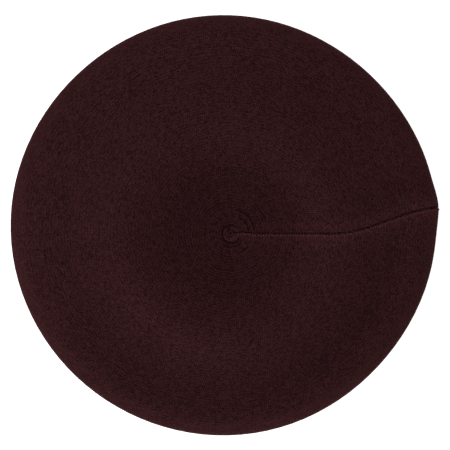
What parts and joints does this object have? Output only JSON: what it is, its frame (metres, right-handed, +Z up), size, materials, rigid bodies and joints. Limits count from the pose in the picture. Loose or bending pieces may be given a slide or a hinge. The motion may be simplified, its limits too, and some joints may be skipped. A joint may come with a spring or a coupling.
{
  "type": "beret",
  "caption": "Round knitted wool beret lying flat, with a linked radial seam, a gathered centre and a folded rib band round the head opening.",
  "frame": {"origin": "under the middle of the flat beret's outline, on the surface that it lies on", "axes": "+Z up, out of the crown; +X from the middle of the crown along the linking seam to the rim"},
  "size_m": [0.2833, 0.2779, 0.0234],
  "materials": {
    "shell_knit": "fine plain-knit wool, dark maroon, matt with a soft nap",
    "rib_knit": "ribbed wool knit, dark maroon, matt",
    "seam_yarn": "twisted wool yarn, dark maroon",
    "elastic_cord": "braid-covered round elastic, black",
    "label_satin": "woven satin label, cream, blank",
    "label_thread": "polyester sewing thread, beige"
  },
  "bodies": {
    "beret": {"knitted_shell": "shell_knit", "radial_seam": "seam_yarn", "seam_end_knot": "seam_yarn", "centre_tie_yarn": "seam_yarn", "centre_tie_knot": "seam_yarn", "rib_band": "rib_knit", "band_side_seam": "seam_yarn", "band_linking_yarn": "seam_yarn", "band_elastic": "elastic_cord", "elastic_knot": "elastic_cord", "main_label": "label_satin", "main_label_stitches": "label_thread", "care_label_stitches": "label_thread"},
    "care_flap": {"care_label": "label_satin"}
  },
  "joints": [
    {"name": "care_label_swing", "type": "hinge", "parent": "beret", "child": "care_flap", "pos_m": [0.05138, -0.02743, 0.0152], "axis": [0.4226, 0.9063, 0], "range_deg": [0, 70]}
  ]
}
